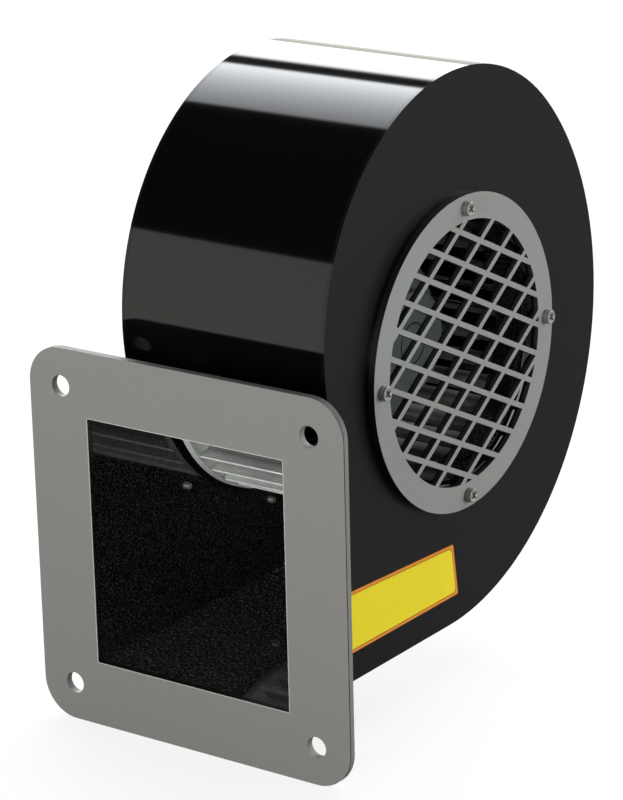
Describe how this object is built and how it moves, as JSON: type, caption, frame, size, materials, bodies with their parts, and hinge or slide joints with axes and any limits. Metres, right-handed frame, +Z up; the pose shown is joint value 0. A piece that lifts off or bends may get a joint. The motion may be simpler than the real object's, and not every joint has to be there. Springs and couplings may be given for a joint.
{
  "type": "centrifugal blower",
  "caption": "Single-inlet centrifugal blower: scroll housing with square discharge flange, guarded side inlet and forward-curved wheel on an external-rotor motor.",
  "frame": {"origin": "centre of the discharge flange's front face", "axes": "+X along the motor axis towards the inlet, -Y the way the air leaves, +Z up"},
  "size_m": [0.1971, 0.2816, 0.3224],
  "materials": {
    "satin_black": "satin black powder coat",
    "gloss_black": "gloss black paint",
    "flange_grey": "fine matt grey on sheet steel",
    "guard_grey": "matt greenish grey coat",
    "zinc_steel": "zinc plated",
    "galvanised": "galvanised sheet",
    "rotor_grey": "satin grey paint",
    "hub_steel": "satin grey paint",
    "lamination": "varnished lamination edges",
    "cast_aluminium": "die cast",
    "bearing_steel": "ground steel",
    "copper_wire": "varnished copper wire",
    "black_plastic": "fine texture",
    "grey_plastic": "moulded",
    "white_plastic": "moulded",
    "rubber": "matt"
  },
  "bodies": {
    "housing": {"inlet_side_plate": "satin_black", "motor_side_plate": "gloss_black", "scroll_wrap": "gloss_black", "discharge_flange": "flange_grey", "inlet_cone": "gloss_black", "inlet_guard": "guard_grey", "guard_screws": "zinc_steel", "guard_nuts": "zinc_steel", "motor_plate": "satin_black", "motor_plate_screws": "zinc_steel", "shaft_cap": "black_plastic", "stator_flange": "cast_aluminium", "stator_bolts": "zinc_steel", "stator_core": "lamination", "stator_winding": "copper_wire", "bearing_outer_races": "bearing_steel", "bearing_balls": "bearing_steel", "preload_washer": "bearing_steel", "terminal_box": "black_plastic", "terminal_box_lid": "black_plastic", "lid_screws": "zinc_steel", "box_screws": "zinc_steel", "run_capacitor": "white_plastic", "capacitor_clip": "zinc_steel", "terminal_block": "grey_plastic", "gland_body": "black_plastic", "gland_locknut": "black_plastic", "gland_seal": "rubber", "gland_nut": "black_plastic"},
    "rotor": {"wheel_blades": "galvanised", "wheel_backplate": "galvanised", "wheel_front_ring": "galvanised", "wheel_rivets": "zinc_steel", "rotor_can": "rotor_grey", "rotor_hub": "hub_steel", "rotor_core": "lamination", "rotor_cage_rings": "cast_aluminium", "motor_shaft": "bearing_steel", "shaft_circlip": "bearing_steel", "bearing_inner_races": "bearing_steel"}
  },
  "joints": [
    {"name": "wheel_spin", "type": "hinge", "parent": "housing", "child": "rotor", "pos_m": [0, 0.1483, 0.0787], "axis": [1, 0, 0], "continuous": true}
  ]
}
